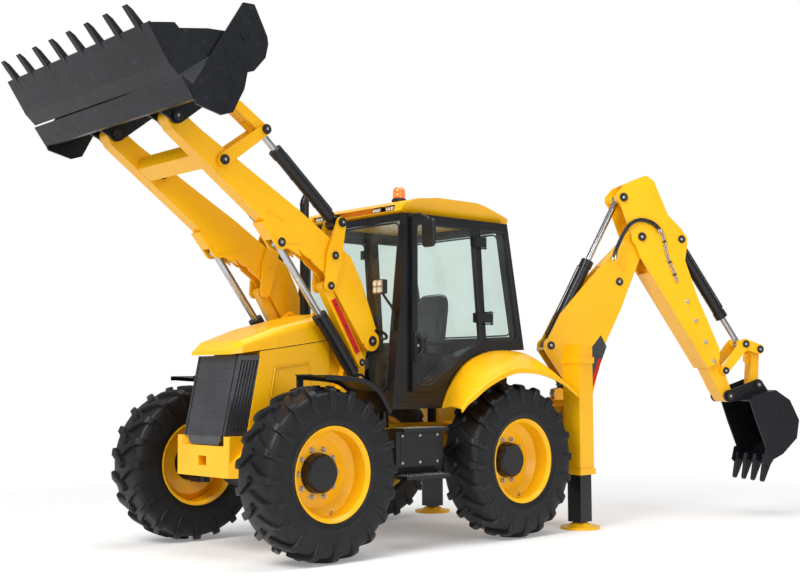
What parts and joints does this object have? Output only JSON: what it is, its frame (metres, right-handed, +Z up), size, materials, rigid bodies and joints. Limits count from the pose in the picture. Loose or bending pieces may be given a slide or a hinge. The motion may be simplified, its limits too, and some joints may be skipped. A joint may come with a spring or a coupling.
{
  "type": "backhoe loader",
  "caption": "Full-size backhoe loader: clam loader bucket on lift arms, glazed cab, steered wheels, side-shifting rear digger with boom, dipper, bucket and stabiliser legs",
  "frame": {"origin": "ground level, below the middle of the whole machine in the pose of the picture", "axes": "+X to the front, +Y to the left, +Z up"},
  "size_m": [7.7467, 3.1672, 4.2947],
  "materials": {
    "yellow_paint": "semi-gloss yellow enamel",
    "black_paint": "satin black enamel",
    "black_plastic": "textured black moulding",
    "bucket_paint": "dark blue-grey enamel on plate steel",
    "bright_steel": "turned pins",
    "chrome_rod": "hard-chromed piston rod",
    "engine_iron": "grey cast iron",
    "tinted_glass": "lightly tinted safety glass",
    "seat_cloth": "dark seat cloth",
    "tyre_rubber": "black rubber",
    "rim_paint": "yellow enamel, hub black"
  },
  "bodies": {
    "chassis": {"main_frame": "yellow_paint", "engine_block": "engine_iron", "nose_weight": "yellow_paint", "grille": "black_plastic", "engine_panels": "yellow_paint", "side_boxes": "black_paint", "cab_frame": "black_paint", "cab_roof": "yellow_paint", "cab_glass": "tinted_glass", "seat": "seat_cloth", "rear_fenders": "yellow_paint", "axle_housings": "black_paint", "rear_frame": "yellow_paint", "cab_fittings": "black_plastic"},
    "bonnet": {"bonnet": "yellow_paint"},
    "door_left": {"door_left": "black_paint"},
    "door_right": {"door_right": "black_paint"},
    "arms": {"loader_arms": "yellow_paint"},
    "dipper_arm": {"dipper": "yellow_paint", "dipper_extension": "yellow_paint"},
    "rear_levers": {"rear_levers": "yellow_paint"},
    "levelling_links": {"levelling_links": "yellow_paint"},
    "tilt_foot_pins": {"tilt_foot_pins": "bright_steel"},
    "tilt_tubes": {"tilt_tubes": "black_paint"},
    "tilt_rods": {"tilt_rods": "chrome_rod"},
    "front_lever_pins": {"front_lever_pins": "bright_steel"},
    "front_levers": {"front_levers": "yellow_paint"},
    "link_pins": {"link_pins": "bright_steel"},
    "bucket_links": {"bucket_links": "yellow_paint"},
    "bucket_pins": {"bucket_pins": "bright_steel"},
    "bucket_blade": {"bucket_blade": "bucket_paint"},
    "bucket_clam": {"bucket_clam": "bucket_paint"},
    "lift_tubes": {"lift_tubes": "black_paint"},
    "lift_rods": {"lift_rods": "chrome_rod"},
    "carriage": {"carriage": "yellow_paint"},
    "kingpost": {"kingpost": "yellow_paint"},
    "boom": {"boom": "yellow_paint"},
    "boom_tube": {"boom_tube": "black_paint"},
    "boom_rod": {"boom_rod": "chrome_rod"},
    "dipper_tube": {"dipper_tube": "black_paint"},
    "dipper_rod": {"dipper_rod": "chrome_rod"},
    "bucket_tube": {"bucket_tube": "black_paint"},
    "bucket_rod": {"bucket_rod": "chrome_rod"},
    "tip_levers": {"tip_levers": "yellow_paint"},
    "tip_link": {"tip_link": "yellow_paint"},
    "hoe_bucket": {"hoe_bucket": "bucket_paint"},
    "stabiliser_left": {"stabiliser_left": "black_paint"},
    "stabiliser_right": {"stabiliser_right": "black_paint"},
    "knuckle_front_left": {"knuckle_front_left": "black_paint"},
    "wheel_front_left": {"tyre_front_left": "tyre_rubber", "rim_front_left": "rim_paint"},
    "knuckle_front_right": {"knuckle_front_right": "black_paint"},
    "wheel_front_right": {"tyre_front_right": "tyre_rubber", "rim_front_right": "rim_paint"},
    "knuckle_rear_left": {"knuckle_rear_left": "black_paint"},
    "wheel_rear_left": {"tyre_rear_left": "tyre_rubber", "rim_rear_left": "rim_paint"},
    "knuckle_rear_right": {"knuckle_rear_right": "black_paint"},
    "wheel_rear_right": {"tyre_rear_right": "tyre_rubber", "rim_rear_right": "rim_paint"}
  },
  "joints": [
    {"name": "front_steer", "type": "hinge", "parent": "chassis", "child": "knuckle_front_left", "pos_m": [2.06, 0.32, 0.7], "axis": [0, 0, 1], "range_deg": [-18, 18]},
    {"name": "front_left_wheel_spin", "type": "hinge", "parent": "knuckle_front_left", "child": "wheel_front_left", "pos_m": [2.06, 0.585, 0.7], "axis": [0, 1, 0], "continuous": true},
    {"name": "front_steer_right", "type": "hinge", "parent": "chassis", "child": "knuckle_front_right", "pos_m": [2.06, -1.08, 0.7], "axis": [0, 0, 1], "range_deg": [-18.5, 18.5]},
    {"name": "front_right_wheel_spin", "type": "hinge", "parent": "knuckle_front_right", "child": "wheel_front_right", "pos_m": [2.06, -1.345, 0.7], "axis": [0, 1, 0], "continuous": true},
    {"name": "rear_steer", "type": "hinge", "parent": "chassis", "child": "knuckle_rear_left", "pos_m": [-0.16, 0.32, 0.7], "axis": [0, 0, 1], "range_deg": [-18, 18]},
    {"name": "rear_left_wheel_spin", "type": "hinge", "parent": "knuckle_rear_left", "child": "wheel_rear_left", "pos_m": [-0.16, 0.585, 0.7], "axis": [0, 1, 0], "continuous": true},
    {"name": "rear_steer_right", "type": "hinge", "parent": "chassis", "child": "knuckle_rear_right", "pos_m": [-0.16, -1.08, 0.7], "axis": [0, 0, 1], "range_deg": [-18.5, 18.5]},
    {"name": "rear_right_wheel_spin", "type": "hinge", "parent": "knuckle_rear_right", "child": "wheel_rear_right", "pos_m": [-0.16, -1.345, 0.7], "axis": [0, 1, 0], "continuous": true},
    {"name": "bonnet_open", "type": "hinge", "parent": "chassis", "child": "bonnet", "pos_m": [1.46, -0.38, 2.05], "axis": [0, -1, 0], "range_deg": [0, 50]},
    {"name": "door_left_open", "type": "hinge", "parent": "chassis", "child": "door_left", "pos_m": [-0.11, 0.432, 2.01], "axis": [0.1128, 0, 0.9936], "range_deg": [0, 80]},
    {"name": "door_right_open", "type": "hinge", "parent": "chassis", "child": "door_right", "pos_m": [-0.11, -1.192, 2.01], "axis": [-0.1128, 0, -0.9936], "range_deg": [0, 80]},
    {"name": "loader_lift", "type": "hinge", "parent": "chassis", "child": "arms", "pos_m": [1.13, -0.38, 1.782], "axis": [0, -1, 0], "range_deg": [-74, 0]},
    {"name": "rear_lever_turn", "type": "hinge", "parent": "arms", "child": "rear_levers", "pos_m": [1.569, -0.38, 2.509], "axis": [0, -1, 0], "range_deg": [-0.5, 58.61]},
    {"name": "levelling_link_turn", "type": "hinge", "parent": "chassis", "child": "levelling_links", "pos_m": [1.225, -0.38, 1.593], "axis": [0, -1, 0], "range_deg": [-82.62, 0.5]},
    {"name": "lift_tube_turn", "type": "hinge", "parent": "chassis", "child": "lift_tubes", "pos_m": [1.245, -0.38, 1.44], "axis": [0, -1, 0], "range_deg": [-75.67, 0.5]},
    {"name": "lift_rod_slide", "type": "slide", "parent": "lift_tubes", "child": "lift_rods", "axis": [0.6036, 0, 0.7973], "range_m": [-0.4386, 0.005]},
    {"name": "tilt_pin_turn", "type": "hinge", "parent": "rear_levers", "child": "tilt_foot_pins", "pos_m": [1.491, -0.38, 2.802], "axis": [0, -1, 0], "range_deg": [-69.29, 0.5]},
    {"name": "front_pin_turn", "type": "hinge", "parent": "arms", "child": "front_lever_pins", "pos_m": [2.708, -0.38, 3.206], "axis": [0, -1, 0], "range_deg": [-0.5, 44.12]},
    {"name": "bucket_pin_turn", "type": "hinge", "parent": "arms", "child": "bucket_pins", "pos_m": [3.15, -0.38, 3.5], "axis": [0, -1, 0], "range_deg": [-0.5, 44.12]},
    {"name": "loader_tilt", "type": "hinge", "parent": "bucket_pins", "child": "bucket_blade", "pos_m": [3.15, -0.38, 3.5], "axis": [0, 1, 0], "range_deg": [0, 92]},
    {"name": "front_lever_turn", "type": "hinge", "parent": "front_lever_pins", "child": "front_levers", "pos_m": [2.708, -0.38, 3.206], "axis": [0, 1, 0], "range_deg": [-0.5, 92.5]},
    {"name": "link_pin_turn", "type": "hinge", "parent": "front_levers", "child": "link_pins", "pos_m": [2.298, -0.38, 3.508], "axis": [0, -1, 0], "range_deg": [-44.12, 0.5]},
    {"name": "bucket_link_turn", "type": "hinge", "parent": "link_pins", "child": "bucket_links", "pos_m": [2.298, -0.38, 3.508], "axis": [0, 1, 0], "range_deg": [-92.5, 0.5]},
    {"name": "tilt_tube_turn", "type": "hinge", "parent": "tilt_foot_pins", "child": "tilt_tubes", "pos_m": [1.491, -0.38, 2.802], "axis": [0, -1, 0], "range_deg": [-14.03, 0.5]},
    {"name": "tilt_rod_slide", "type": "slide", "parent": "tilt_tubes", "child": "tilt_rods", "axis": [0.7526, 0, 0.6584], "range_m": [-0.005, 0.6636]},
    {"name": "clam_open", "type": "hinge", "parent": "bucket_blade", "child": "bucket_clam", "pos_m": [2.94987, -0.38, 4.03985], "axis": [0, -1, 0], "range_deg": [0, 70]},
    {"name": "side_shift", "type": "slide", "parent": "chassis", "child": "carriage", "axis": [0, 1, 0], "range_m": [-1.1, 0]},
    {"name": "hoe_slew", "type": "hinge", "parent": "carriage", "child": "kingpost", "pos_m": [-1.52, 0.17, 0.6], "axis": [0, 0, -1], "range_deg": [-117, 63]},
    {"name": "boom_lift", "type": "hinge", "parent": "kingpost", "child": "boom", "pos_m": [-1.6091, 0.2154, 0.93], "axis": [0.454, 0.891, 0], "range_deg": [-66, 12]},
    {"name": "boom_tube_turn", "type": "hinge", "parent": "kingpost", "child": "boom_tube", "pos_m": [-1.41308, 0.11552, 1.29], "axis": [0.454, 0.891, 0], "range_deg": [-65.84, 12.38]},
    {"name": "boom_rod_slide", "type": "slide", "parent": "boom_tube", "child": "boom_rod", "axis": [-0.4465, 0.2275, 0.8654], "range_m": [-0.0884, 0.4635]},
    {"name": "dipper_turn", "type": "hinge", "parent": "boom", "child": "dipper_arm", "pos_m": [-2.21766, 0.52547, 2.91], "axis": [-0.454, -0.891, 0], "range_deg": [-80, 22]},
    {"name": "dipper_tube_turn", "type": "hinge", "parent": "boom", "child": "dipper_tube", "pos_m": [-1.3222, 0.06921, 1.78], "axis": [0.454, 0.891, 0], "range_deg": [-1.27, 3.3]},
    {"name": "dipper_rod_slide", "type": "slide", "parent": "dipper_tube", "child": "dipper_rod", "axis": [-0.4132, 0.2105, 0.886], "range_m": [-0.5635, 0.1586]},
    {"name": "hoe_bucket_turn", "type": "hinge", "parent": "dipper_arm", "child": "hoe_bucket", "pos_m": [-3.09797, 0.97402, 1.252], "axis": [-0.454, -0.891, 0], "range_deg": [-52, 65]},
    {"name": "tip_lever_turn", "type": "hinge", "parent": "dipper_arm", "child": "tip_levers", "pos_m": [-3.05075, 0.94996, 1.519], "axis": [0.454, 0.891, 0], "range_deg": [-51.64, 41.41]},
    {"name": "tip_link_turn", "type": "hinge", "parent": "hoe_bucket", "child": "tip_link", "pos_m": [-3.40002, 1.12792, 1.37], "axis": [0.454, 0.891, 0], "range_deg": [-42.18, 52.6]},
    {"name": "bucket_tube_turn", "type": "hinge", "parent": "dipper_arm", "child": "bucket_tube", "pos_m": [-2.62752, 0.73431, 2.897], "axis": [0.454, 0.891, 0], "range_deg": [-2.58, 3.1]},
    {"name": "bucket_rod_slide", "type": "slide", "parent": "bucket_tube", "child": "bucket_rod", "axis": [-0.4908, 0.2501, -0.8346], "range_m": [-0.236, 0.2937]},
    {"name": "stabiliser_left_raise", "type": "slide", "parent": "chassis", "child": "stabiliser_left", "axis": [0, 0, 1], "range_m": [0, 0.45]},
    {"name": "stabiliser_right_raise", "type": "slide", "parent": "chassis", "child": "stabiliser_right", "axis": [0, 0, 1], "range_m": [0, 0.45]}
  ],
  "couplings": [
    {"joint": "front_steer_right", "follows": "front_steer", "ratio": 1},
    {"joint": "rear_steer_right", "follows": "rear_steer", "ratio": 1},
    {"joint": "rear_lever_turn", "follows": "loader_lift", "ratio": -0.78533},
    {"joint": "levelling_link_turn", "follows": "loader_lift", "ratio": 1.1098},
    {"joint": "lift_tube_turn", "follows": "loader_lift", "ratio": 1.0158},
    {"joint": "lift_rod_slide", "follows": "loader_lift", "m_per_rad": 0.33572},
    {"joint": "tilt_pin_turn", "follows": "loader_lift", "ratio": 0.92961},
    {"joint": "front_pin_turn", "follows": "loader_lift", "ratio": -0.58943},
    {"joint": "bucket_pin_turn", "follows": "loader_lift", "ratio": -0.58943},
    {"joint": "front_lever_turn", "follows": "loader_tilt", "ratio": 1},
    {"joint": "link_pin_turn", "follows": "loader_lift", "ratio": 0.58943},
    {"joint": "bucket_link_turn", "follows": "loader_tilt", "ratio": -1},
    {"joint": "tilt_tube_turn", "follows": "loader_tilt", "ratio": -0.14707},
    {"joint": "tilt_rod_slide", "follows": "loader_tilt", "m_per_rad": 0.41013},
    {"joint": "boom_tube_turn", "follows": "boom_lift", "ratio": 0.99},
    {"joint": "boom_rod_slide", "follows": "boom_lift", "m_per_rad": -0.39804},
    {"joint": "dipper_tube_turn", "follows": "dipper_turn", "ratio": -0.035},
    {"joint": "dipper_rod_slide", "follows": "dipper_turn", "m_per_rad": 0.4},
    {"joint": "tip_lever_turn", "follows": "hoe_bucket_turn", "ratio": -0.78676},
    {"joint": "tip_link_turn", "follows": "hoe_bucket_turn", "ratio": 0.80161},
    {"joint": "bucket_tube_turn", "follows": "hoe_bucket_turn", "ratio": 0.04},
    {"joint": "bucket_rod_slide", "follows": "hoe_bucket_turn", "m_per_rad": 0.2545}
  ]
}
